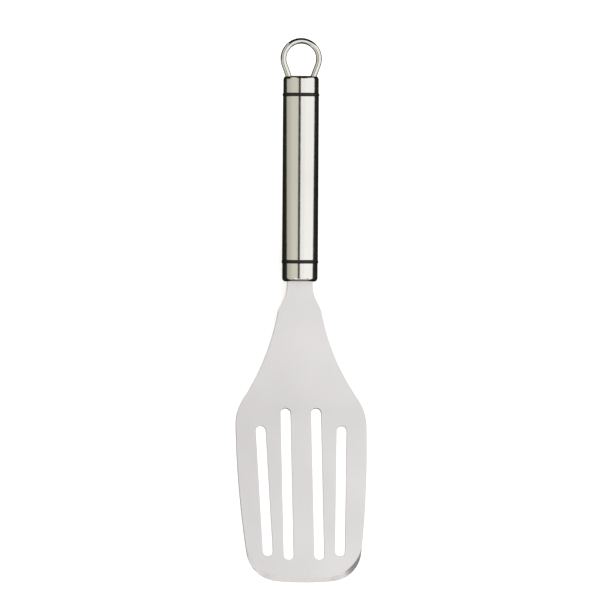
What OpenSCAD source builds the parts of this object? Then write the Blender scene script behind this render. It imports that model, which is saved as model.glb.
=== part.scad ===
// Hamburger turner: a slotted sheet steel blade that sweeps up into a round hollow handle with
// capped ends, black spacer rings and a wire loop to hang it by.
// The blade lies flat on the table (z = 0), the handle rises towards +Y and the tip points to -Y.

/* [Blade] */
// Length of the blade, from the heel, where its flare begins, to the tip
blade_len = 164.8; // [150:0.1:190]
// Width of the blade where it is widest
blade_w = 78.9; // [74:0.1:86]
// Distance from the heel to the widest place
widest_at = 68.9; // [66:0.1:78]
// Width of the blade at the heel
heel_w = 26.2; // [24:0.1:30]
// Width that the sides would reach at the tip if the corners were square
tip_w = 63.8; // [58:0.2:70]
// Thickness of the sheet
sheet_t = 1.8; // [1.2:0.1:2.4]
// Radius of the hollow curve from the heel to the shoulder
flare_r = 138; // [120:1:200]
// Radius of the shoulder
shoulder_r = 29.5; // [22:0.5:34]
// Radius of the two tip corners
corner_r = 19.3; // [12:0.1:24]
// Radius of the gently bowed tip edge
tip_bow_r = 185; // [110:1:300]
// Width of the bevel ground on the tip edge
bevel_w = 2.2; // [1:0.1:4]
// Thickness left at the ground edge
edge_t = 0.7; // [0.4:0.1:1]

/* [Slots] */
// Width of each slot
slot_w = 6.0; // [4.8:0.1:7]
// Distance of the two inner slots from the centre line
inner_slot_x = 9.2; // [8:0.1:11]
// Distance of the outer slots from the centre line at their heel end
outer_slot_heel_x = 24.4; // [22:0.1:26]
// Distance of the outer slots from the centre line at their tip end
outer_slot_tip_x = 21.7; // [20:0.1:24]
// Distance from the heel to the start of the inner slots
inner_slot_start = 58.4; // [54:0.1:70]
// Distance from the heel to the start of the outer slots
outer_slot_start = 69.3; // [64:0.1:80]
// Web left between the inner slots and the tip
inner_slot_web = 13.5; // [10:0.1:20]
// Web left between the outer slots and the tip
outer_slot_web = 15.8; // [12:0.1:22]

/* [Sweep and neck] */
// Radius of the long sweep in which the sheet rises from the flat to the neck, to its middle
sweep_r = 312; // [280:2:340]
// Width of the neck where it enters the handle
neck_w = 15.4; // [12:0.1:17]
// Length of the straight neck in front of the handle
neck_len = 2.3; // [1:0.1:8]
// Rounding of the corner where the blade's flare meets the taper to the neck
heel_r = 5; // [3:0.5:10]
// Angle at which the edges taper from the heel to the neck
taper_a = 26.5; // [23:0.5:32]
// Radius of the hollow in each edge where the taper runs into the neck
hollow_r = 20; // [14:0.5:26]
// Width of the tang inside the handle
tang_w = 12; // [9:0.2:14]
// Length of the tang inside the handle
tang_len = 36; // [24:1:44]
// Diameter of the hole in the tang that the moulded plug fills
tang_hole_d = 5; // [3:0.2:6]

/* [Handle] */
// Angle at which the handle rises from the blade
handle_rise = 13.8; // [10:0.2:18]
// Outer diameter of the tube
tube_d = 21.6; // [19.5:0.1:24]
// Length of the tube
tube_len = 98.4; // [85:0.2:115]
// Wall of the tube
tube_wall = 0.8; // [0.6:0.1:1.2]
// Outer diameter of the two caps
cap_d = 21.3; // [19.4:0.1:23.8]
// Wall of the two caps
cap_wall = 0.8; // [0.6:0.1:1]
// Length of the front cap
front_cap_len = 10.9; // [9:0.1:14]
// Rounding of the front cap's edge
front_cap_edge = 2.1; // [1.2:0.1:2.4]
// Length of the rear cap
rear_cap_len = 10.3; // [9:0.1:14]
// Rounding of the rear cap's edge
rear_cap_edge = 2.1; // [1.2:0.1:2.4]
// Outer diameter of the two spacer rings
ring_d = 22.1; // [20:0.1:24.6]
// Width of the two spacer rings
ring_w = 1.9; // [1.5:0.1:3]
// Rounding of the outer edges of the rings
ring_edge = 0.5; // [0.3:0.05:0.7]
// Length of each plug inside the tube
spigot_len = 30; // [26:1:38]
// Diameter of the cored hollow inside the rear plug
core_d = 11; // [8:0.5:13]
// Depth of that hollow
core_depth = 20; // [10:1:22]
// Gap round the tang, the neck and the wire where they pass through
fit_gap = 0.1; // [0.05:0.05:0.3]

/* [Hanging loop] */
// Diameter of the wire
wire_d = 3; // [2.4:0.1:3.4]
// Radius of the loop, to the middle of the wire
loop_r = 11; // [9:0.1:13]
// Distance from the rear cap to the centre of the loop
loop_out = 10.4; // [8:0.1:14]
// Distance of each leg from the middle where it enters the rear cap
leg_x = 7.6; // [6.4:0.1:8]
// Depth of each leg inside the handle
leg_depth = 9; // [6:0.5:10]

/* [Hidden] */
$fn = 96;

// Overlap by which a cutting shape runs past the face that it cuts
past = 1;
// Largest turn in degrees and largest distance between two points of the blade's outline
arc_step = 3;
arc_chord = 4;
// Largest distance between two lines across the sweep
sweep_step = 3;
// The seam between the arc and each leg of the wire: how far it stands proud, and its length
seam_proud = 0.02;
seam_len = 0.4;

// Places along the handle's axis, from the front face of the front cap
front_ring_at = front_cap_len;
tube_at = front_ring_at + ring_w;
rear_ring_at = tube_at + tube_len;
rear_cap_at = rear_ring_at + ring_w;
handle_len = rear_cap_at + rear_cap_len;

tube_in_r = tube_d / 2 - tube_wall;
cap_in_r = cap_d / 2 - cap_wall;

// The loop: its centre on the handle's axis, and the angle at which its legs converge
loop_at = handle_len + loop_out;
leg_reach = norm([leg_x, loop_out]);
leg_a = asin(loop_r / leg_reach) - atan2(leg_x, loop_out);
leg_out = sqrt(leg_reach * leg_reach - loop_r * loop_r);

// Points of an arc round c, from angle a to angle b
function arc(c, r, a, b) =
    let (turn = abs(b - a), n = ceil(max(turn / arc_step, r * turn * PI / 180 / arc_chord, 1)))
    [for (i = [0:n]) c + r * [cos(a + (b - a) * i / n), sin(a + (b - a) * i / n)]];

// Direction from p to q in degrees, from -180 to 180, and the same from 0 to 360
function bearing(p, q) = atan2(q[1] - p[1], q[0] - p[0]);
function bearing_360(p, q) = (bearing(p, q) + 360) % 360;

// Where the circle of radius a round p meets the circle of radius b round q, left of the way from p to q
function meet(p, a, q, b) =
    let (d = norm(q - p), along = (d * d + a * a - b * b) / (2 * d), up = sqrt(a * a - along * along))
    p + along / d * (q - p) + up / d * [p[1] - q[1], q[0] - p[0]];

// Centres of the arcs in the right half of the flat blank, with the heel at y = 0 and the tip
// towards -Y. Each arc touches the next without a corner.
side_drop = (blade_w - tip_w) / 2;
tip_run = blade_len - widest_at;
side_r = (tip_run * tip_run + side_drop * side_drop) / (2 * side_drop);
side_c = [blade_w / 2 - side_r, -widest_at];
tip_c = [0, tip_bow_r - blade_len];
corner_c = meet(tip_c, tip_bow_r - corner_r, side_c, side_r - corner_r);
shoulder_c = [blade_w / 2 - shoulder_r, -widest_at];
heel_corner = [heel_w / 2, 0];
flare_c = meet(heel_corner, flare_r, shoulder_c, flare_r + shoulder_r);
corner_from = bearing(side_c, corner_c);
corner_to = bearing(tip_c, corner_c);

// Behind the heel the edge turns from the flare's slope to the taper round heel_r, runs straight,
// and turns into the neck's side round hollow_r
flare_a = asin((flare_c[1] - heel_corner[1]) / flare_r);
heel_c = heel_corner - heel_r * [cos(flare_a), sin(flare_a)];
taper_from = heel_c + heel_r * [cos(taper_a), sin(taper_a)];
hollow_half = neck_w / 2 + hollow_r * (1 - cos(taper_a));
hollow_from = taper_from[1] + (taper_from[0] - hollow_half) / tan(taper_a);
neck_from = hollow_from + hollow_r * sin(taper_a);
hollow_c = [neck_w / 2 + hollow_r, neck_from];

// Distances along the sheet, behind the heel: the start of the sweep, and the face of the handle
sweep_start = neck_from - sweep_r * handle_rise * PI / 180;
neck_to = neck_from + neck_len;

// Middle of the bent sheet at the distance d behind the heel, as [y, z, slope]. It is flat up to
// sweep_start, and straight again behind neck_from.
function sheet_mid(d) =
    let (flat = min(d - sweep_start, 0),
         straight = max(d - neck_from, 0),
         a = (min(d, neck_from) - sweep_start - flat) / sweep_r * 180 / PI)
    [sweep_start + flat + sweep_r * sin(a) + straight * cos(a),
     sheet_t / 2 + sweep_r * (1 - cos(a)) + straight * sin(a), a];

// A point of the sheet's side view, at the height h over its middle
function sheet_side(d, h) =
    let (m = sheet_mid(d))
    [m[0] - h * sin(m[2]), m[1] + h * cos(m[2])];

cap_face = [sheet_mid(neck_to)[0], sheet_mid(neck_to)[1]];

// The whole turner is shifted so that its origin lies under the middle of its length
rear_end = cap_face[0] + loop_at * cos(handle_rise) + loop_r * cos(handle_rise) + wire_d / 2;
middle_shift = (blade_len - rear_end) / 2;

// Right half of the flat blank, from behind the neck round to the middle of the tip
half_blank = concat(
    [[neck_w / 2, neck_to + cap_wall + past]],
    arc(hollow_c, hollow_r, 180, 180 + taper_a),
    arc(heel_c, heel_r, taper_a, flare_a),
    arc(flare_c, flare_r, bearing_360(flare_c, heel_corner), bearing_360(flare_c, shoulder_c)),
    arc(shoulder_c, shoulder_r, bearing(shoulder_c, flare_c), 0),
    arc(side_c, side_r, 0, corner_from),
    arc(corner_c, corner_r, corner_from, corner_to),
    arc(tip_c, tip_bow_r, corner_to, -90));

// The same once the sheet is bent, seen from above
half_outline = [for (p = half_blank) [p[0], sheet_mid(p[1])[0]]];

// Places along the sheet at which its side view is worked out
sweep_parts = ceil((neck_from - sweep_start) / sweep_step);
stations = concat(
    [-blade_len - past],
    [for (i = [0:sweep_parts]) sweep_start + (neck_from - sweep_start) * i / sweep_parts],
    [neck_to + cap_wall]);

// Puts what is drawn along +Z onto the handle's axis, with z = 0 at the front face of the front cap
module on_handle() {
    translate([0, cap_face[0], cap_face[1]])
        rotate([handle_rise - 90, 0, 0])
            children();
}

// Puts the finished turner over its origin
module placed() {
    translate([0, middle_shift, 0])
        children();
}

// A slot with round ends, from x0 at its heel end to x1 at its tip end
module slot(x0, x1, start, web) {
    p = [x0, -(start + slot_w / 2)];
    q = [x1, -(blade_len - web - slot_w / 2)];
    translate(p)
        rotate(bearing(p, q)) {
            translate([0, -slot_w / 2])
                square([norm(q - p), slot_w]);
            circle(d = slot_w);
            translate([norm(q - p), 0])
                circle(d = slot_w);
        }
}

// Section of what the grinding takes off an edge of radius r
module ground_section(r) {
    fall = (sheet_t - edge_t) / bevel_w;
    polygon([
        [r - bevel_w - past, sheet_t + fall * past],
        [r + past, edge_t - fall * past],
        [r + past, sheet_t + fall * past]]);
}

// The bevel along the bowed tip edge, and round each corner, where it runs out towards the side
module bevel_cut() {
    translate(tip_c)
        rotate(-180 - corner_to)
            rotate_extrude(angle = 180 + 2 * corner_to)
                ground_section(tip_bow_r);
    run_out = atan((sheet_t - edge_t) / (corner_r * sin(corner_from - corner_to)));
    for (side = [0, 1])
        mirror([side, 0, 0])
            translate([corner_c[0], corner_c[1], 0])
                rotate(corner_to)
                    translate([0, 0, edge_t])
                        rotate([run_out, 0, 0])
                            translate([0, 0, -edge_t])
                                rotate_extrude(angle = corner_from - corner_to)
                                    ground_section(corner_r);
}

// The sheet as a plain wide strip, bent to its side view
module bent_strip() {
    rotate([90, 0, 90])
        linear_extrude(height = blade_w + 2 * past, center = true)
            polygon(concat(
                [for (d = stations) sheet_side(d, -sheet_t / 2)],
                [for (i = [len(stations) - 1:-1:0]) sheet_side(stations[i], sheet_t / 2)]));
}

// The sheet: the bent strip, cut to its outline and slotted from above, with the ground tip
module sheet() {
    difference() {
        intersection() {
            bent_strip();
            translate([0, 0, -past])
                linear_extrude(height = cap_face[1] + sheet_t + 2 * past)
                    difference() {
                        polygon(concat(half_outline, [for (i = [len(half_outline) - 2:-1:0])
                            [-half_outline[i][0], half_outline[i][1]]]));
                        for (side = [-1, 1]) {
                            slot(side * inner_slot_x, side * inner_slot_x,
                                inner_slot_start, inner_slot_web);
                            slot(side * outer_slot_heel_x, side * outer_slot_tip_x,
                                outer_slot_start, outer_slot_web);
                        }
                    }
        }
        bevel_cut();
    }
}

// The tang, widened all round by gap, with the hole for the plug left out of it
module tang(gap) {
    difference() {
        translate([-tang_w / 2 - gap, -sheet_t / 2 - gap, 0])
            cube([tang_w + 2 * gap, sheet_t + 2 * gap, cap_wall + tang_len + gap]);
        translate([0, 0, cap_wall + tang_len / 2])
            rotate([90, 0, 0])
                cylinder(d = tang_hole_d - 2 * gap, h = sheet_t + 2 * gap + 2 * past, center = true);
    }
}

module blade() {
    color("gainsboro")
        placed() {
            sheet();
            on_handle()
                tang(0);
        }
}

// Half section of a round bar of radius r whose end at the bottom is rounded by e
module bar_section(r, len, e) {
    translate([0, e])
        square([r, len - e]);
    square([r - e, len]);
    translate([r - e, e])
        circle(r = e);
}

// A drawn cup with its closed end at z = 0
module cap(len, edge) {
    difference() {
        rotate_extrude()
            bar_section(cap_d / 2, len, edge);
        translate([0, 0, cap_wall])
            rotate_extrude()
                bar_section(cap_in_r, len, edge - cap_wall);
    }
}

// One leg of the wire loop, from its depth inside the rear cap to out beyond it
module leg(side, d, depth, out) {
    translate([side * leg_x, 0, handle_len])
        rotate([0, side * leg_a, 0])
            translate([0, 0, -depth])
                cylinder(d = d, h = depth + out);
}

module both_legs(d, depth, out) {
    for (side = [-1, 1])
        leg(side, d, depth, out);
}

module front_cap() {
    color("silver")
        placed()
            on_handle()
                difference() {
                    cap(front_cap_len, front_cap_edge);
                    translate([-neck_w / 2 - fit_gap, -sheet_t / 2 - fit_gap, -past])
                        cube([neck_w + 2 * fit_gap, sheet_t + 2 * fit_gap, cap_wall + 2 * past]);
                }
}

module rear_cap() {
    color("silver")
        placed()
            on_handle()
                difference() {
                    translate([0, 0, handle_len])
                        rotate([180, 0, 0])
                            cap(rear_cap_len, rear_cap_edge);
                    both_legs(wire_d + 2 * fit_gap, leg_depth, past);
                }
}

// A spacer ring with softly rounded outer edges
module spacer_ring() {
    rotate_extrude() {
        translate([cap_in_r, 0])
            square([ring_d / 2 - cap_in_r - ring_edge, ring_w]);
        translate([cap_in_r, ring_edge])
            square([ring_d / 2 - cap_in_r, ring_w - 2 * ring_edge]);
        for (z = [ring_edge, ring_w - ring_edge])
            translate([ring_d / 2 - ring_edge, z])
                circle(r = ring_edge);
    }
}

module front_ring() {
    color([0.09, 0.09, 0.09])
        placed()
            on_handle()
                translate([0, 0, front_ring_at])
                    spacer_ring();
}

module rear_ring() {
    color([0.09, 0.09, 0.09])
        placed()
            on_handle()
                translate([0, 0, rear_ring_at])
                    spacer_ring();
}

// A moulded plug, drawn from the cap's closed end: a boss in the cap and through the ring,
// then a thicker spigot in the tube
module plug_body(cap_len, edge) {
    boss_len = cap_len + ring_w - cap_wall;
    translate([0, 0, cap_wall])
        rotate_extrude()
            bar_section(cap_in_r - fit_gap, boss_len, edge - cap_wall);
    translate([0, 0, cap_wall + boss_len])
        cylinder(r = tube_in_r - fit_gap, h = spigot_len);
}

module front_plug() {
    color("dimgray")
        placed()
            on_handle()
                difference() {
                    plug_body(front_cap_len, front_cap_edge);
                    tang(fit_gap);
                }
}

module rear_plug() {
    color("dimgray")
        placed()
            on_handle()
                difference() {
                    translate([0, 0, handle_len])
                        rotate([180, 0, 0])
                            plug_body(rear_cap_len, rear_cap_edge);
                    translate([0, 0, rear_ring_at - spigot_len - past])
                        cylinder(d = core_d, h = core_depth + past);
                    both_legs(wire_d + 2 * fit_gap, leg_depth + fit_gap, past);
                }
}

module handle_tube() {
    color("silver")
        placed()
            on_handle()
                translate([0, 0, tube_at])
                    difference() {
                        cylinder(d = tube_d, h = tube_len);
                        translate([0, 0, -past])
                            cylinder(r = tube_in_r, h = tube_len + 2 * past);
                    }
}

module hanging_loop() {
    color("gainsboro")
        placed()
            on_handle() {
                translate([0, 0, loop_at])
                    rotate([90, 0, 0])
                        rotate(-leg_a)
                            rotate_extrude(angle = 180 + 2 * leg_a)
                                translate([loop_r, 0])
                                    circle(d = wire_d);
                both_legs(wire_d, leg_depth, leg_out);
                both_legs(wire_d + 2 * seam_proud, seam_len / 2 - leg_out, leg_out + seam_len / 2);
            }
}

blade();
front_cap();
front_ring();
front_plug();
handle_tube();
rear_plug();
rear_ring();
rear_cap();
hanging_loop();
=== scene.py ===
# %% [markdown]
# A hamburger turner, dressed for the camera.
#
# The turner is one steel sheet, which sweeps up from a slotted blade into a round hollow handle
# with two caps, two black rings and a wire loop to hang it by. The CAD model already has the true
# sizes, so this lesson hardly measures again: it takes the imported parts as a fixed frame, models the
# surfaces that the eye sees on top of them, gives each one the finish of the real metal, and lights
# the lot as a studio would.

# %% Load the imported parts
import math

import bpy
from mathutils import Matrix, Vector


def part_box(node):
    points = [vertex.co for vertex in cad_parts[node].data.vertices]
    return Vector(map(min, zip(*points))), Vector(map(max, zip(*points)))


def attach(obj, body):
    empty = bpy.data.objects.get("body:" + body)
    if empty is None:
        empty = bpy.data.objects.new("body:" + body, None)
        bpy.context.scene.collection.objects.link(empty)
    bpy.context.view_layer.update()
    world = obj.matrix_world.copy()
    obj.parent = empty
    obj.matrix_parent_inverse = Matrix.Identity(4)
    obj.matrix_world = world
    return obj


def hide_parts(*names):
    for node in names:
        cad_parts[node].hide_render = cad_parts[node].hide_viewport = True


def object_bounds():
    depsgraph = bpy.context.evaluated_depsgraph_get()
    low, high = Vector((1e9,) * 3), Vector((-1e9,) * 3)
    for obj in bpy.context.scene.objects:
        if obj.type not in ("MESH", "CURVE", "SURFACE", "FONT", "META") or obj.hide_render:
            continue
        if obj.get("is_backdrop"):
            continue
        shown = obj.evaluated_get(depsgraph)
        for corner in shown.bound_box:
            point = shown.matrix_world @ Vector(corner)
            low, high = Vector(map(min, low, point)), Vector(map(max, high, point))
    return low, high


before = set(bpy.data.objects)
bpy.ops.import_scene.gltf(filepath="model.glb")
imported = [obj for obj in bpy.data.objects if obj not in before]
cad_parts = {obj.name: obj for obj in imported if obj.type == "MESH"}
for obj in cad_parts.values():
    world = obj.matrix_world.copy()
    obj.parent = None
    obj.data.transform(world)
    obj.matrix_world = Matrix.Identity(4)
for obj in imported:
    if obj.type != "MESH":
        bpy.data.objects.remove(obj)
cad_box = [list(corner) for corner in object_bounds()]
print("parts:", ", ".join(sorted(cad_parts)))

# %% [markdown]
# Blender works in metres and a workshop in millimetres, so one constant turns one into the other.
# The sizes below are those of the CAD model, but for the loop. A closer look at the photograph made
# its wire half a millimetre thicker, and its radius is smaller by half of that, so the outer size
# stays. The handle's axis starts in the middle of the front cap's face and climbs by 13.8 degrees,
# and everything turned round is placed along that axis.

# %% Sizes of the turner, in millimetres
MM = 0.001
HANDLE_RISE = math.radians(13.8)
SHEET = 1.8
WIRE = 3.5
WALL = 0.8
TUBE_D = 21.6
CAP_D = 21.3
RING_D = 22.1
FRONT_CAP_LEN = 10.9
REAR_CAP_LEN = 10.3
RING_LEN = 1.9
TUBE_LEN = 98.4
NECK_W = 15.4
LOOP_R = 10.75
LOOP_OUT = 10.4
LEG_X = 7.6
LEG_DEPTH = 9.0
FIT_GAP = 0.1

# Places along the handle's axis, from the front cap's face
FRONT_RING_AT = FRONT_CAP_LEN
TUBE_AT = FRONT_RING_AT + RING_LEN
REAR_RING_AT = TUBE_AT + TUBE_LEN
REAR_CAP_AT = REAR_RING_AT + RING_LEN
HANDLE_LEN = REAR_CAP_AT + REAR_CAP_LEN
LOOP_AT = HANDLE_LEN + LOOP_OUT

ALONG = Vector((0, math.cos(HANDLE_RISE), math.sin(HANDLE_RISE)))
tube_low, tube_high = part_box("handle_tube")
tube_middle = (Vector(tube_low) + Vector(tube_high)) / 2
CAP_FACE = tube_middle - ALONG * (TUBE_AT + TUBE_LEN / 2) * MM
HANDLE_FRAME = Matrix.Translation(CAP_FACE) @ Matrix.Rotation(HANDLE_RISE - math.pi / 2, 4, "X")
print("front cap's face in mm:", [round(v / MM, 2) for v in CAP_FACE])

# %% [markdown]
# The camera stands almost above the turner, a little towards the tip and to its left. The
# photograph shows hardly any perspective, which means a long lens from far away: at five metres a
# 500 mm lens fills the frame with the turner. The direction, the small roll and the aim were found
# by fitting the CAD model's own corners to the photograph.

# %% Camera
CAMERA_AZIMUTH = math.radians(26.55)
CAMERA_TILT = math.radians(15.15)
CAMERA_ROLL = math.radians(-1.28)
CAMERA_DISTANCE = 5.0
PIXELS_PER_MM = 1.6667
IMAGE_WIDTH = 600
SENSOR_WIDTH = 36.0
CAMERA_REACH = 50
AIM = Vector((0, 0, 10 * MM))
AIM_PIXEL = Vector((300.45, 314.26))

to_camera = Vector((
    -math.sin(CAMERA_TILT) * math.sin(CAMERA_AZIMUTH),
    -math.sin(CAMERA_TILT) * math.cos(CAMERA_AZIMUTH),
    math.cos(CAMERA_TILT)))
level_right = Vector((0, 1, 0)).cross(to_camera).normalized()
level_up = to_camera.cross(level_right)
right = math.cos(CAMERA_ROLL) * level_right + math.sin(CAMERA_ROLL) * level_up
up = math.cos(CAMERA_ROLL) * level_up - math.sin(CAMERA_ROLL) * level_right
off_centre = (AIM_PIXEL - Vector((IMAGE_WIDTH / 2, IMAGE_WIDTH / 2))) / PIXELS_PER_MM * MM
aim = AIM - off_centre.x * right + off_centre.y * up

camera_data = bpy.data.cameras.new("studio_camera")
camera_data.sensor_width = SENSOR_WIDTH
camera_data.lens = PIXELS_PER_MM / MM * CAMERA_DISTANCE * SENSOR_WIDTH / IMAGE_WIDTH
camera_data.clip_end = CAMERA_REACH
camera = bpy.data.objects.new("studio_camera", camera_data)
bpy.context.scene.collection.objects.link(camera)
camera.matrix_world = Matrix.Translation(aim + CAMERA_DISTANCE * to_camera) @ Matrix((
    (right.x, up.x, to_camera.x, 0),
    (right.y, up.y, to_camera.y, 0),
    (right.z, up.z, to_camera.z, 0),
    (0, 0, 0, 1)))
bpy.context.scene.camera = camera
bpy.context.scene.view_settings.view_transform = "Standard"
print("lens in mm:", round(camera_data.lens, 1))

# %% [markdown]
# Two small helpers serve every material. A colour is written as the hex code that a colour picker
# shows, and has to be turned from sRGB to linear light for the renderer. A node is added with its
# settings and its links in one call.

# %% Helpers for colours and nodes
def linear(hex_code, alpha=1.0):
    values = [int(hex_code[i:i + 2], 16) / 255 for i in (0, 2, 4)]
    return [v / 12.92 if v <= 0.04045 else ((v + 0.055) / 1.055) ** 2.4 for v in values] + [alpha]


def add_node(tree, kind, settings=None, inputs=None):
    """Adds a node. An input's value is a number, a colour, or another node's output to link."""
    node = tree.nodes.new(kind)
    for name, value in (settings or {}).items():
        setattr(node, name, value)
    for name, value in (inputs or {}).items():
        if isinstance(value, bpy.types.NodeSocket):
            tree.links.new(value, node.inputs[name])
        else:
            node.inputs[name].default_value = value
    return node


def new_material(name):
    material = bpy.data.materials.new(name)
    material.use_nodes = True
    material.node_tree.nodes.clear()
    return material, material.node_tree


def finish_material(tree, surface):
    add_node(tree, "ShaderNodeOutputMaterial", {}, {"Surface": surface})


# %% [markdown]
# Polished metal shows its surroundings and nothing else, so the studio is half of its colour. The
# photograph tells what stood round the turner: a broad bright screen over it and to the right, a
# dimmer and warmer one on the left, a dark slit between them through which the camera looked, and a
# dark table below. Each is built here at about the size and place that its reflection asks for.
# The floor and the sky are white for whatever looks at them, and the floor still takes a shadow.

# %% Floor and sky
FLOOR_SIZE = 12.0
PAPER_GLOW = 0.55
ROOM_LIGHT = 0.3


def looked_at(tree):
    """1 for a ray from the camera, a mirror or glass, and 0 for a ray that only gathers light."""
    seen = add_node(tree, "ShaderNodeLightPath")
    mirrored = add_node(tree, "ShaderNodeMath", {"operation": "MAXIMUM"}, {
        0: seen.outputs["Is Glossy Ray"], 1: seen.outputs["Is Transmission Ray"]})
    direct = add_node(tree, "ShaderNodeMath", {"operation": "MAXIMUM"}, {
        0: seen.outputs["Is Camera Ray"], 1: mirrored.outputs[0]})
    return direct.outputs[0]


floor_material, tree = new_material("white_sweep_paper")
paper = add_node(tree, "ShaderNodeBsdfDiffuse", {}, {"Color": linear("F4F4F4")})
glow_strength = add_node(tree, "ShaderNodeMath", {"operation": "MULTIPLY"}, {
    0: looked_at(tree), 1: PAPER_GLOW})
glow = add_node(tree, "ShaderNodeEmission", {}, {
    "Color": linear("FFFFFF"), "Strength": glow_strength.outputs[0]})
both = add_node(tree, "ShaderNodeAddShader", {}, {0: paper.outputs[0], 1: glow.outputs[0]})
finish_material(tree, both.outputs[0])

bpy.ops.object.select_all(action="DESELECT")
bpy.ops.mesh.primitive_plane_add(size=FLOOR_SIZE)
floor = bpy.context.object
floor.name = "floor"
floor.data.materials.append(floor_material)
floor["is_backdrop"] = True

world = bpy.data.worlds.new("studio_sky")
bpy.context.scene.world = world
world.use_nodes = True
sky = world.node_tree
sky.nodes.clear()
room = add_node(sky, "ShaderNodeBackground", {}, {"Color": linear("FFFFFF"), "Strength": ROOM_LIGHT})
white = add_node(sky, "ShaderNodeBackground", {}, {"Color": linear("FFFFFF"), "Strength": 1.0})
choose = add_node(sky, "ShaderNodeMixShader", {}, {
    0: looked_at(sky), 1: room.outputs[0], 2: white.outputs[0]})
add_node(sky, "ShaderNodeOutputWorld", {}, {"Surface": choose.outputs[0]})

# %% [markdown]
# The dark of the studio is a black felt box round the turner: a table top under it, and the dark
# room behind the screens. Four cards are set inside it. A grey flag near the right wall draws the
# dark crescent at the right corner of the tip, two low black cards beside the loop darken the
# flanks of its wire, and a pale card under the blade brightens the walls of the slots. Only mirrors
# see all this. The camera looks through it, so the paper stays white, and it throws no shadow.

# %% Dark surroundings, for reflections only
TENT_LEFT = -0.19
TENT_RIGHT = 0.26
TENT_FRONT = -1.10
TENT_BACK = 0.36
TENT_HEIGHT = 0.72
WALL_GAP = 0.01
FELT_CLEARANCE = 0.3 * MM
FELT_THICKNESS = 0.002
FLAG_X = 0.25
FLAG_FRONT = -0.345
FLAG_BACK = -0.13
FLAG_FOOT = 0.10
FLAG_TOP = 0.32
CARD_X = 0.06
CARD_FRONT = 0.146
CARD_BACK = 0.23
LEFT_CARD_TOP = 0.058
RIGHT_CARD_TOP = 0.050
SLOT_CARD_X = 0.034
SLOT_CARD_FRONT = -0.155
SLOT_CARD_BACK = -0.060


def only_in_mirrors(obj):
    obj.visible_camera = False
    obj.visible_diffuse = False
    obj.visible_shadow = False
    obj.visible_transmission = False


def dull_cloth(name, colour):
    material, tree = new_material(name)
    cloth = add_node(tree, "ShaderNodeBsdfDiffuse", {}, {"Color": linear(colour)})
    finish_material(tree, cloth.outputs[0])
    return material


black_felt = dull_cloth("black_felt", "272722")
grey_felt = dull_cloth("grey_felt", "9A9A96")
white_card = dull_cloth("white_card", "E0E0E0")


def felt_box(name, low, high, felt=black_felt):
    bpy.ops.object.select_all(action="DESELECT")
    bpy.ops.mesh.primitive_cube_add(size=1)
    box = bpy.context.object
    box.name = name
    box.scale = Vector(high) - Vector(low)
    box.location = (Vector(high) + Vector(low)) / 2
    bpy.ops.object.transform_apply(location=True, rotation=True, scale=True)
    box.data.materials.append(felt)
    only_in_mirrors(box)
    box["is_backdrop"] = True


felt_box("dark_room", (TENT_LEFT - WALL_GAP, TENT_FRONT, FELT_CLEARANCE),
         (TENT_RIGHT + WALL_GAP, TENT_BACK, TENT_HEIGHT + FELT_CLEARANCE))
felt_box("grey_flag", (FLAG_X, FLAG_FRONT, FLAG_FOOT),
         (FLAG_X + FELT_THICKNESS, FLAG_BACK, FLAG_TOP), grey_felt)
felt_box("white_card_under_slots", (-SLOT_CARD_X, SLOT_CARD_FRONT, FELT_CLEARANCE),
         (SLOT_CARD_X, SLOT_CARD_BACK, 2 * FELT_CLEARANCE), white_card)
felt_box("left_loop_card", (-CARD_X, CARD_FRONT, FELT_CLEARANCE),
         (FELT_THICKNESS - CARD_X, CARD_BACK, LEFT_CARD_TOP))
felt_box("right_loop_card", (CARD_X, CARD_FRONT, FELT_CLEARANCE),
         (CARD_X + FELT_THICKNESS, CARD_BACK, RIGHT_CARD_TOP))

# %% [markdown]
# The screens are area lamps. A lamp's power is spread over its area, so a helper takes the
# brightness that its reflection should have, where 1 is white, and works out the power. The camera
# doesn't see the lamps themselves. The roof and the right wall light the bright half of the handle
# and the blade. The left screen, dimmer and warmer, lights the handle's other half, and the slit
# above it is the dark line along the handle. The screens near the tip, on both sides, are what the
# ground bevel mirrors.

# %% Screens
def screen(name, centre, size, facing, brightness, colour="FFFFFF"):
    data = bpy.data.lights.new(name, "AREA")
    data.shape = "RECTANGLE"
    data.size, data.size_y = size
    data.energy = brightness * math.pi * size[0] * size[1]
    data.color = linear(colour)[:3]
    lamp = bpy.data.objects.new(name, data)
    bpy.context.scene.collection.objects.link(lamp)
    lamp.location = centre
    lamp.rotation_mode = "QUATERNION"
    lamp.rotation_quaternion = Vector(facing).to_track_quat("-Z", "Y")
    lamp.visible_camera = False
    return lamp


ROOF_LEFT = -0.090
ROOF_AT = TENT_HEIGHT - 0.002
ROOF_MARGIN = 0.02
ROOF_FRONT = TENT_FRONT + ROOF_MARGIN
ROOF_BACK = TENT_BACK - ROOF_MARGIN
SLIT_FRONT = -0.55
SIDE_FRONT = -0.48
LEFT_FOOT = 0.002
LEFT_FOOT_X = -0.115
LEFT_TOP = 0.50
LEFT_FRONT = -0.12
NEAR_LEFT_FOOT = 0.15
FAR_FRONT = -1.04
FAR_LEFT_FOOT = 0.42
FAR_RIGHT_FOOT = 0.34
RIGHT_FOOT = 0.045
FACING_LEFT = (-1, 0, 0)
FACING_RIGHT = (1, 0, 0)
WHITE = "FFFEFC"
WARM_WHITE = "FFFDED"
BRIGHT = 0.97
RIGHT_BRIGHT = 1.04
FAR_RIGHT_BRIGHT = 0.76
LEFT_BRIGHT = 0.68
FADE_FROM = -0.05
FADE_TO = 0.14
FADED = 0.6


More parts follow.
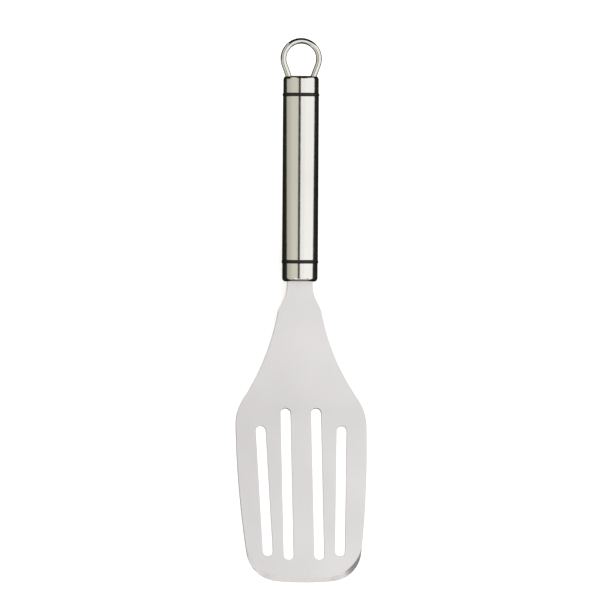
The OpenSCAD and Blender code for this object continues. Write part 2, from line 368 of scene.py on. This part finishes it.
def roof_part(name, low, high):
    """A screen under the roof between two corners (x, y)."""
    middle = ((low[0] + high[0]) / 2, (low[1] + high[1]) / 2, ROOF_AT)
    return screen(name, middle, (high[0] - low[0], high[1] - low[1]), (0, 0, -1), BRIGHT, WHITE)


def side_part(name, x, low, high, facing, brightness):
    """A screen against a side wall between two corners (y, z)."""
    middle = (x, (low[0] + high[0]) / 2, (low[1] + high[1]) / 2)
    return screen(name, middle, (high[0] - low[0], high[1] - low[1]), facing, brightness, WHITE)


roof_part("roof_screen", (ROOF_LEFT, ROOF_FRONT), (TENT_RIGHT, ROOF_BACK))
roof_part("roof_screen_before_slit", (TENT_LEFT, ROOF_FRONT), (ROOF_LEFT, SLIT_FRONT))
side_part("right_screen", TENT_RIGHT, (SIDE_FRONT, RIGHT_FOOT), (ROOF_BACK, ROOF_AT),
          FACING_LEFT, RIGHT_BRIGHT)
side_part("near_left_screen", TENT_LEFT, (SIDE_FRONT, NEAR_LEFT_FOOT), (LEFT_FRONT, LEFT_TOP),
          FACING_RIGHT, BRIGHT)
side_part("far_left_screen", TENT_LEFT, (FAR_FRONT, FAR_LEFT_FOOT), (SIDE_FRONT, ROOF_AT),
          FACING_RIGHT, BRIGHT)
side_part("far_right_screen", TENT_RIGHT, (FAR_FRONT, FAR_RIGHT_FOOT), (SIDE_FRONT, ROOF_AT),
          FACING_LEFT, FAR_RIGHT_BRIGHT)

# The left screen leans outwards from its foot
left_lean = LEFT_FOOT_X - TENT_LEFT
left_middle = (
    (TENT_LEFT + LEFT_FOOT_X) / 2, (ROOF_BACK + LEFT_FRONT) / 2, (LEFT_TOP + LEFT_FOOT) / 2)
left_screen = screen("left_screen", left_middle,
                     (ROOF_BACK - LEFT_FRONT, math.hypot(left_lean, LEFT_TOP - LEFT_FOOT)),
                     (LEFT_TOP - LEFT_FOOT, 0, left_lean), LEFT_BRIGHT, WARM_WHITE)

# The left screen fades towards the table, as cloth lit from above does
left_screen.data.use_nodes = True
tree = left_screen.data.node_tree
tree.nodes.clear()
where = add_node(tree, "ShaderNodeNewGeometry")
height = add_node(tree, "ShaderNodeSeparateXYZ", {}, {0: where.outputs["Position"]})
fade = add_node(tree, "ShaderNodeMapRange", {"interpolation_type": "SMOOTHSTEP"}, {
    "Value": height.outputs["Z"], "From Min": FADE_FROM, "From Max": FADE_TO,
    "To Min": FADED, "To Max": 1.0})
cloth_light = add_node(tree, "ShaderNodeEmission", {}, {"Strength": fade.outputs[0]})
add_node(tree, "ShaderNodeOutputLight", {}, {"Surface": cloth_light.outputs[0]})

# %% [markdown]
# The blade and the neck are one satin stainless sheet, rolled and then brushed along its length
# with a fine belt. Such a surface is a blurred mirror: it takes the screens' white and spreads it
# evenly, with faint hairlines. The hairlines of the real belt are a few hundredths of a millimetre
# wide, far below a pixel, so they are drawn at about half a millimetre. A Noise texture stretched
# along Y does it, for a slight change of tone, of roughness and of height. A second, very large
# Noise texture veils the sheet here and there by a few hundredths. The tip's bevel comes from a
# finer wheel than the belt: it is smoother and a touch darker.

# %% Satin brushed stainless steel, for the blade
CLOUD_SIZE = 40 * MM
CLOUD_TONE = 0.95
GROUND_TINT = "F8F7F5"
NOISE_LOW = 0.3
NOISE_HIGH = 0.7


def hairlines(tree, rotation, scale, detail=3.0):
    """Noise in metres on Object coordinates, scaled to long thin lines."""
    place = add_node(tree, "ShaderNodeTexCoord")
    stretch = add_node(tree, "ShaderNodeMapping", {}, {
        "Vector": place.outputs["Object"], "Rotation": rotation, "Scale": scale})
    return add_node(tree, "ShaderNodeTexNoise", {}, {
        "Vector": stretch.outputs[0], "Scale": 1.0, "Detail": detail, "Roughness": 0.6})


def steel(name, colour, pale_colour, roughness, rough_spread, line, lift, rotation=(0, 0, 0),
          ground_roughness=None):
    """Stainless steel whose grit lines have the size `line`, in metres, along each axis."""
    material, tree = new_material(name)
    lines = hairlines(tree, rotation, [1 / size for size in line])
    grit = add_node(tree, "ShaderNodeMix", {"data_type": "RGBA"}, {
        "Factor": lines.outputs["Fac"], 6: linear(colour), 7: linear(pale_colour)})
    clouds = hairlines(tree, rotation, [1 / CLOUD_SIZE] * 3, 1.0)
    veil = add_node(tree, "ShaderNodeMapRange", {}, {
        "Value": clouds.outputs["Fac"], "From Min": NOISE_LOW, "From Max": NOISE_HIGH,
        "To Min": CLOUD_TONE, "To Max": 1.0})
    tone = add_node(tree, "ShaderNodeMix", {"data_type": "RGBA", "blend_type": "MULTIPLY"}, {
        "Factor": 1.0, 6: grit.outputs[2], 7: veil.outputs[0]})
    rough = add_node(tree, "ShaderNodeMapRange", {}, {
        "Value": lines.outputs["Fac"], "From Min": NOISE_LOW, "From Max": NOISE_HIGH,
        "To Min": roughness - rough_spread, "To Max": roughness + rough_spread})
    if ground_roughness:
        ground_faces = add_node(tree, "ShaderNodeAttribute", {"attribute_name": "ground"})
        rough = add_node(tree, "ShaderNodeMix", {}, {
            "Factor": ground_faces.outputs["Fac"], "A": rough.outputs[0], "B": ground_roughness})
        tone = add_node(tree, "ShaderNodeMix", {"data_type": "RGBA", "blend_type": "MULTIPLY"}, {
            "Factor": ground_faces.outputs["Fac"], 6: tone.outputs[2], 7: linear(GROUND_TINT)})
    relief = add_node(tree, "ShaderNodeBump", {}, {
        "Strength": 1.0, "Distance": lift, "Height": lines.outputs["Fac"]})
    metal = add_node(tree, "ShaderNodeBsdfPrincipled", {}, {
        "Base Color": tone.outputs[2], "Metallic": 1.0, "Roughness": rough.outputs[0],
        "Normal": relief.outputs[0]})
    finish_material(tree, metal.outputs[0])
    return material


satin_steel = steel("satin_stainless_steel_belt_brushed", "EAE8EA", "F1EFF1", roughness=0.34,
                    rough_spread=0.03, line=(0.5 * MM, 40 * MM, 0.5 * MM), lift=0.002 * MM,
                    ground_roughness=0.24)

# %% [markdown]
# The handle is drawn stainless tube, polished on a lathe. The wheel runs round it, so what little
# grit is left lies in rings round the axis, and across the handle the mirror stays crisp. The
# pattern is turned by the handle's slope so that its rings stand square to the axis.

# %% Polished stainless steel, for the handle, the caps and the wire
polished_steel = steel("polished_stainless_steel_lathe_finish", "E9E7E4", "EFEEEB", roughness=0.15,
                       rough_spread=0.02, line=(30 * MM, 0.6 * MM, 30 * MM), lift=0.0005 * MM,
                       rotation=(-HANDLE_RISE, 0, 0))
wire_steel = steel("bright_drawn_stainless_wire", "E4E3E0", "EEEDEA", roughness=0.09,
                   rough_spread=0.02, line=(3 * MM, 3 * MM, 3 * MM), lift=0.0005 * MM)

# %% [markdown]
# The two rings are black moulded rubber, which is dull and nearly black. The plugs inside are dark
# glass-filled nylon. Both get a fine moulded grain.

# %% Moulded black rubber and dark nylon
def moulded(name, colour, pale_colour, roughness, grain, lift):
    material, tree = new_material(name)
    place = add_node(tree, "ShaderNodeTexCoord")
    grain_noise = add_node(tree, "ShaderNodeTexNoise", {}, {
        "Vector": place.outputs["Object"], "Scale": 1 / grain, "Detail": 2.0})
    tone = add_node(tree, "ShaderNodeMix", {"data_type": "RGBA"}, {
        "Factor": grain_noise.outputs["Fac"], 6: linear(colour), 7: linear(pale_colour)})
    relief = add_node(tree, "ShaderNodeBump", {}, {
        "Strength": 1.0, "Distance": lift, "Height": grain_noise.outputs["Fac"]})
    plastic = add_node(tree, "ShaderNodeBsdfPrincipled", {}, {
        "Base Color": tone.outputs[2], "Metallic": 0.0, "Roughness": roughness,
        "IOR": 1.5, "Normal": relief.outputs[0]})
    finish_material(tree, plastic.outputs[0])
    return material


black_rubber = moulded("black_moulded_rubber", "0E0E0D", "161614",
                       roughness=0.45, grain=0.4 * MM, lift=0.01 * MM)
dark_nylon = moulded("dark_glass_filled_nylon", "2A2B2C", "343536",
                     roughness=0.5, grain=0.6 * MM, lift=0.01 * MM)

# %% [markdown]
# Everything round is modelled as on a lathe: a circle is added upright at the origin, and its ring
# of edges is extruded from one point of the profile to the next, up and in or out. The last ring
# comes back to the first, and merging the doubles closes the wall. Corners are rounded in the
# profile itself. The finished piece is then laid onto the handle's axis and its place is applied
# to the mesh.

# %% Helpers for turned pieces
SIDES = 192
SAME_POINT = 0.0005 * MM
FACE_AREA_WEIGHT = 80


def nothing_selected():
    if bpy.context.object and bpy.context.object.mode != "OBJECT":
        bpy.ops.object.mode_set(mode="OBJECT")
    bpy.ops.object.select_all(action="DESELECT")


def rounded(corners, steps=8):
    """The profile with each corner (radius, height, rounding) turned into an arc."""
    points = []
    for i, (x, y, rounding) in enumerate(corners):
        here = Vector((x, y))
        if rounding == 0:
            points.append(here)
            continue
        before = (Vector(corners[i - 1][:2]) - here).normalized()
        after = (Vector(corners[(i + 1) % len(corners)][:2]) - here).normalized()
        half = before.angle(after) / 2
        reach = rounding / math.tan(half)
        centre = here + (before + after).normalized() * rounding / math.sin(half)
        start = here + before * reach - centre
        end = here + after * reach - centre
        sweep = start.angle_signed(end)
        for step in range(steps + 1):
            turn = -sweep * step / steps
            points.append(centre + Matrix.Rotation(turn, 2) @ start)
    return points


def turned(name, corners, sides=SIDES):
    """A ring-shaped piece along +Z from a closed profile of (radius, height, rounding) in mm."""
    points = rounded(corners)
    nothing_selected()
    bpy.ops.mesh.primitive_circle_add(vertices=sides, radius=points[0].x * MM)
    piece = bpy.context.object
    piece.name = name
    bpy.ops.object.mode_set(mode="EDIT")
    bpy.ops.mesh.select_all(action="SELECT")
    bpy.ops.transform.translate(value=(0, 0, points[0].y * MM))
    for last, point in zip(points, points[1:] + points[:1]):
        rise = (point.y - last.y) * MM
        scale = point.x / last.x
        bpy.ops.mesh.extrude_region_move(TRANSFORM_OT_translate={"value": (0, 0, rise)})
        bpy.ops.transform.resize(value=(scale, scale, 1), center_override=(0, 0, 0))
    bpy.ops.mesh.select_all(action="SELECT")
    bpy.ops.mesh.remove_doubles(threshold=SAME_POINT)
    bpy.ops.mesh.normals_make_consistent(inside=False)
    bpy.ops.object.mode_set(mode="OBJECT")
    return piece


def apply_modifier(piece, kind, **settings):
    nothing_selected()
    piece.select_set(True)
    bpy.context.view_layer.objects.active = piece
    modifier = piece.modifiers.new(kind.lower(), kind)
    for key, value in settings.items():
        setattr(modifier, key, value)
    bpy.ops.object.modifier_apply(modifier=modifier.name)


def smooth(piece, degrees=30):
    """Smooth shading, with flat faces kept flat by weighting the normals with face area."""
    nothing_selected()
    piece.select_set(True)
    bpy.context.view_layer.objects.active = piece
    bpy.ops.object.shade_smooth_by_angle(angle=math.radians(degrees))
    apply_modifier(piece, "WEIGHTED_NORMAL", keep_sharp=True, weight=FACE_AREA_WEIGHT)


def on_handle(piece, at=0.0, turned_round=False):
    """Lays a piece drawn along +Z onto the handle's axis, `at` mm behind the front cap's face."""
    nothing_selected()
    piece.select_set(True)
    bpy.context.view_layer.objects.active = piece
    flip = Matrix.Rotation(math.pi, 4, "X") if turned_round else Matrix.Identity(4)
    piece.matrix_world = HANDLE_FRAME @ Matrix.Translation((0, 0, at * MM)) @ flip
    bpy.ops.object.transform_apply(location=True, rotation=True, scale=True)


def dress(piece, node, material):
    """Puts the finish on a piece, hangs it under the root, and hides the CAD part that it stands for.
    """
    piece.data.materials.clear()
    piece.data.materials.append(material)
    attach(piece, "root")
    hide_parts(node)
    low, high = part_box(node)
    print(piece.name, len(piece.data.polygons), "faces, CAD size in mm:",
          [round((b - a) / MM, 1) for a, b in zip(low, high)])


# %% [markdown]
# The tube is plain drawn tube, cut off square, with its cut ends broken by a fine file. A quarter
# of a millimetre of rounding at the outer ends is what makes the thin bright line beside each ring.

# %% Handle tube
TUBE_EDGE = 0.25
tube = turned("turner_handle_tube", [
    (TUBE_D / 2, 0, TUBE_EDGE), (TUBE_D / 2, TUBE_LEN, TUBE_EDGE),
    (TUBE_D / 2 - WALL, TUBE_LEN, 0), (TUBE_D / 2 - WALL, 0, 0)])
smooth(tube)
on_handle(tube, TUBE_AT)
dress(tube, "handle_tube", polished_steel)

# %% [markdown]
# Each cap is a shallow cup, drawn from thin sheet in a press. The press leaves a generous radius
# round the closed end, and the open rim is sheared and lightly broken. The front cap is slotted for
# the neck of the blade and the rear one is drilled for the two legs of the wire. As on the real
# cups the holes are cut afterwards, here with a Boolean modifier and a cutter that is deleted.

# %% The two caps
CAP_EDGE = 2.1
CAP_RIM = 0.2
CENTRE_R = 0.05
CUTTER_DEPTH = 4
DRILL_SIDES = 48
DRILL_DEPTH = 8


def cup(name, length):
    """A cup with its closed end at z = 0. A tiny hole in the middle is closed at the end."""
    r = CAP_D / 2
    piece = turned(name, [
        (CENTRE_R, 0, 0), (r, 0, CAP_EDGE), (r, length, CAP_RIM), (r - WALL, length, CAP_RIM),
        (r - WALL, WALL, CAP_EDGE - WALL), (CENTRE_R, WALL, 0)])
    nothing_selected()
    piece.select_set(True)
    bpy.context.view_layer.objects.active = piece
    bpy.ops.object.mode_set(mode="EDIT")
    bpy.ops.mesh.select_mode(type="FACE")
    bpy.ops.mesh.select_all(action="DESELECT")
    bpy.ops.object.mode_set(mode="OBJECT")
    for face in piece.data.polygons:
        corners = [piece.data.vertices[v].co.xy.length for v in face.vertices]
        face.select = max(corners) < 2 * CENTRE_R * MM
    bpy.ops.object.mode_set(mode="EDIT")
    bpy.ops.mesh.delete(type="FACE")
    bpy.ops.mesh.select_mode(type="EDGE")
    bpy.ops.mesh.select_all(action="DESELECT")
    bpy.ops.mesh.select_non_manifold(extend=False)
    bpy.ops.mesh.edge_face_add()
    bpy.ops.mesh.select_all(action="SELECT")
    bpy.ops.mesh.normals_make_consistent(inside=False)
    bpy.ops.object.mode_set(mode="OBJECT")
    return piece


def cut(piece, cutter):
    apply_modifier(piece, "BOOLEAN", operation="DIFFERENCE", object=cutter, solver="EXACT")
    bpy.data.objects.remove(cutter, do_unlink=True)


front_cap = cup("turner_front_cap", FRONT_CAP_LEN)
bpy.ops.mesh.primitive_cube_add(size=1)
neck_cutter = bpy.context.object
neck_cutter.scale = (
    (NECK_W + 2 * FIT_GAP) * MM, (SHEET + 2 * FIT_GAP) * MM, CUTTER_DEPTH * MM)
bpy.ops.object.transform_apply(location=True, rotation=True, scale=True)
cut(front_cap, neck_cutter)
smooth(front_cap)
on_handle(front_cap)
dress(front_cap, "front_cap", polished_steel)

# The legs of the wire lean inwards by this angle, so that they run straight into the loop
leg_reach = math.hypot(LEG_X, LOOP_OUT)
LEG_LEAN = math.asin(LOOP_R / leg_reach) - math.atan2(LEG_X, LOOP_OUT)
LEG_OUT = math.sqrt(leg_reach ** 2 - LOOP_R ** 2)

rear_cap = cup("turner_rear_cap", REAR_CAP_LEN)
for side in (-1, 1):
    nothing_selected()
    bpy.ops.mesh.primitive_cylinder_add(
        vertices=DRILL_SIDES, radius=(WIRE / 2 + FIT_GAP) * MM, depth=DRILL_DEPTH * MM,
        location=(side * LEG_X * MM, 0, 0), rotation=(0, -side * LEG_LEAN, 0))
    wire_cutter = bpy.context.object
    bpy.ops.object.transform_apply(location=True, rotation=True, scale=True)
    cut(rear_cap, wire_cutter)
smooth(rear_cap)
on_handle(rear_cap, HANDLE_LEN, turned_round=True)
dress(rear_cap, "rear_cap", polished_steel)

# %% [markdown]
# The rings are soft spacers between the cups and the tube. They stand a quarter of a millimetre
# proud, with rounded edges, so each shows as a thin black line that bulges at both ends.

# %% The two rings
RING_EDGE = 0.5
for ring_name, node, at in (("turner_front_ring", "front_ring", FRONT_RING_AT),
                            ("turner_rear_ring", "rear_ring", REAR_RING_AT)):
    inner = CAP_D / 2 - WALL
    ring = turned(ring_name, [
        (RING_D / 2, 0, RING_EDGE), (RING_D / 2, RING_LEN, RING_EDGE),
        (inner, RING_LEN, 0), (inner, 0, 0)])
    smooth(ring)
    on_handle(ring, at)
    dress(ring, node, black_rubber)

# %% [markdown]
# The loop is one length of wire, bent round a mandrel to most of a circle, with two straight legs
# that lean together into the cap. A circle of the wire's size is extruded along the first leg, spun
# round the middle of the loop, and extruded again along the second leg, as the wire itself was
# bent.

# %% Hanging loop
WIRE_SIDES = 40
SPIN_STEPS = 96
WIRE_SMOOTH = 40
nothing_selected()
bpy.ops.mesh.primitive_circle_add(vertices=WIRE_SIDES, radius=WIRE / 2 * MM, fill_type="NGON")
loop = bpy.context.object
loop.name = "turner_hanging_loop"
lean = Matrix.Rotation(LEG_LEAN, 4, "Y")
leg_line = lean @ Vector((0, 0, 1))
leg_end = Vector((LEG_X, 0, HANDLE_LEN)) * MM - leg_line * LEG_DEPTH * MM
loop.matrix_world = Matrix.Translation(leg_end) @ lean
bpy.ops.object.transform_apply(location=True, rotation=True, scale=True)
bpy.ops.object.mode_set(mode="EDIT")
bpy.ops.mesh.select_all(action="SELECT")
first_leg = leg_line * (LEG_DEPTH + LEG_OUT) * MM
bpy.ops.mesh.extrude_region_move(TRANSFORM_OT_translate={"value": first_leg})
bpy.ops.mesh.spin(
    steps=SPIN_STEPS, angle=math.pi + 2 * LEG_LEAN, use_auto_merge=False,
    center=(0, 0, LOOP_AT * MM), axis=(0, 1, 0))
second_leg = Vector((first_leg.x, 0, -first_leg.z))
bpy.ops.mesh.extrude_region_move(TRANSFORM_OT_translate={"value": second_leg})
bpy.ops.mesh.select_all(action="SELECT")
bpy.ops.mesh.remove_doubles(threshold=SAME_POINT)
bpy.ops.mesh.normals_make_consistent(inside=False)
bpy.ops.object.mode_set(mode="OBJECT")
smooth(loop, WIRE_SMOOTH)
on_handle(loop)
dress(loop, "hanging_loop", wire_steel)

# %% [markdown]
# The blade's outline, its slots, the ground tip and the long sweep are all in the CAD part. What it
# lacks is what tumbling does to a cut blank: the edges lose their sharpness. A copy of the part's
# mesh is merged to one skin, and a Bevel modifier rounds each sharp edge by a fifth of a millimetre
# on the upper side and a little less below. That rounding is what draws the thin grey line round
# the blade and in each slot.
#
# The CAD part's bevel runs out at the two corners of the tip, and the real one is carried round
# them. So the wheel passes again, a little deeper: once over the tip and once round each corner,
# on circles that touch where they meet. The ground faces are marked, for their own finish.

# %% Blade
UPPER_ROUNDING = 0.2
LOWER_ROUNDING = 0.16
ROUNDING_STEPS = 5
SHARP = math.radians(35)
FLAT = math.radians(0.2)
MERGE = 0.001 * MM
UPWARDS = 0.85
BLADE_SMOOTH = 20

# The grind takes off the edges in front of this y, but for those of the slots, which end here
GROUND_FROM = -138.0
SLOTS_TO = (26.0, -152.0)

# The grind's slope, the circles of its cones, and the blocks that hold them
GRIND_SLOPE = 0.5
GRIND_LOW = -1.0
GRIND_HIGH = 3.0
CONE_SIDES = 1024
BLOCK_HEIGHT = 3.6
TIP_GRIND_R = 182.7
TIP_GRIND_AT = (0, 22.79)
TIP_BLOCK = ((-40, -170), (40, -150))
CORNER_GRIND_R = 24.169
CORNER_GRIND_AT = (11.224, -135.343)
CORNER_BLOCK_X = (12.94, 40.3)
CORNER_BLOCK_Y = (-167.2, -139.2)

# The ground faces, by the height of their normals and by their place
GROUND_NORMAL = (0.88, 0.91)
GROUND_BACK = -135

nothing_selected()
blade_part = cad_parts["blade"]
blade = blade_part.copy()
blade.data = blade_part.data.copy()
blade.name = "turner_blade"
blade.parent = None
for key in list(blade.keys()):
    del blade[key]
bpy.context.scene.collection.objects.link(blade)
blade.matrix_world = blade_part.matrix_world.copy()
blade.select_set(True)
bpy.context.view_layer.objects.active = blade
bpy.ops.object.transform_apply(location=True, rotation=True, scale=True)
bpy.ops.object.mode_set(mode="EDIT")
bpy.ops.mesh.select_all(action="SELECT")
bpy.ops.mesh.remove_doubles(threshold=MERGE)
bpy.ops.mesh.dissolve_limited(angle_limit=FLAT)
bpy.ops.object.mode_set(mode="OBJECT")
print("blade merged:", len(blade.data.vertices), "points,", len(blade.data.polygons), "faces")


def ground_later(point):
    beyond_slots = abs(point.x) > SLOTS_TO[0] or point.y < SLOTS_TO[1]
    return point.y < GROUND_FROM and beyond_slots


# Tumbling rounds the upper edges a little more than the lower ones
sides_of = {}
for face in blade.data.polygons:
    for key in face.edge_keys:
        sides_of.setdefault(key, []).append(face.normal)
weights = blade.data.attributes.new("bevel_weight_edge", "FLOAT", "EDGE")
for line in blade.data.edges:
    normals = sides_of[line.key]
    ends = [blade.data.vertices[v].co / MM for v in line.vertices]
    if normals[0].angle(normals[-1]) > SHARP and not any(ground_later(end) for end in ends):
        upper = max(normal.z for normal in normals) > UPWARDS
        weights.data[line.index].value = 1.0 if upper else LOWER_ROUNDING / UPPER_ROUNDING
apply_modifier(blade, "BEVEL", limit_method="WEIGHT", width=UPPER_ROUNDING * MM,
               segments=ROUNDING_STEPS, use_clamp_overlap=False, miter_outer="MITER_ARC")


def grind(radius, at, low, high):
    """The wheel's path: a block between two corners (x, y), less a cone round `at`.

    The cone has its radius at the sheet's upper face, in mm, and widens downwards.
    """
    middle = (GRIND_LOW + GRIND_HIGH) / 2
    nothing_selected()
    bpy.ops.mesh.primitive_cone_add(
        vertices=CONE_SIDES, depth=(GRIND_HIGH - GRIND_LOW) * MM,
        location=(at[0] * MM, at[1] * MM, middle * MM),
        radius1=(radius + (SHEET - GRIND_LOW) / GRIND_SLOPE) * MM,
        radius2=(radius - (GRIND_HIGH - SHEET) / GRIND_SLOPE) * MM)
    cone = bpy.context.object
    nothing_selected()
    bpy.ops.mesh.primitive_cube_add(
        size=1, location=((low[0] + high[0]) / 2 * MM, (low[1] + high[1]) / 2 * MM, middle * MM))
    block = bpy.context.object
    block.scale = ((high[0] - low[0]) * MM, (high[1] - low[1]) * MM, BLOCK_HEIGHT * MM)
    bpy.ops.object.transform_apply(location=True, rotation=True, scale=True)
    cut(block, cone)
    cut(blade, block)


grind(TIP_GRIND_R, TIP_GRIND_AT, *TIP_BLOCK)
for side in (1, -1):
    block_x = sorted(side * x for x in CORNER_BLOCK_X)
    grind(CORNER_GRIND_R, (side * CORNER_GRIND_AT[0], CORNER_GRIND_AT[1]),
          (block_x[0], CORNER_BLOCK_Y[0]), (block_x[1], CORNER_BLOCK_Y[1]))
ground = blade.data.attributes.new("ground", "FLOAT", "FACE")
for face in blade.data.polygons:
    sloped = GROUND_NORMAL[0] < face.normal.z < GROUND_NORMAL[1]
    ground.data[face.index].value = 1.0 if sloped and face.center.y < GROUND_BACK * MM else 0.0
print("blade ground:", len(blade.data.vertices), "points,", len(blade.data.polygons), "faces")
smooth(blade, BLADE_SMOOTH)
dress(blade, "blade", satin_steel)

# %% [markdown]
# The two plugs sit inside the handle, where the CAD parts are right as they are. They only need
# their finish.

# %% Plugs
for node in ("front_plug", "rear_plug"):
    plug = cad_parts[node]
    plug.data.materials.clear()
    plug.data.materials.append(dark_nylon)

# %% Print the two boxes and finish
dressed_box = [list(corner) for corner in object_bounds()]
for name, box in (("parts", cad_box), ("dressed", dressed_box)):
    print(name, "box in mm:", [[round(v / MM, 2) for v in corner] for corner in box])
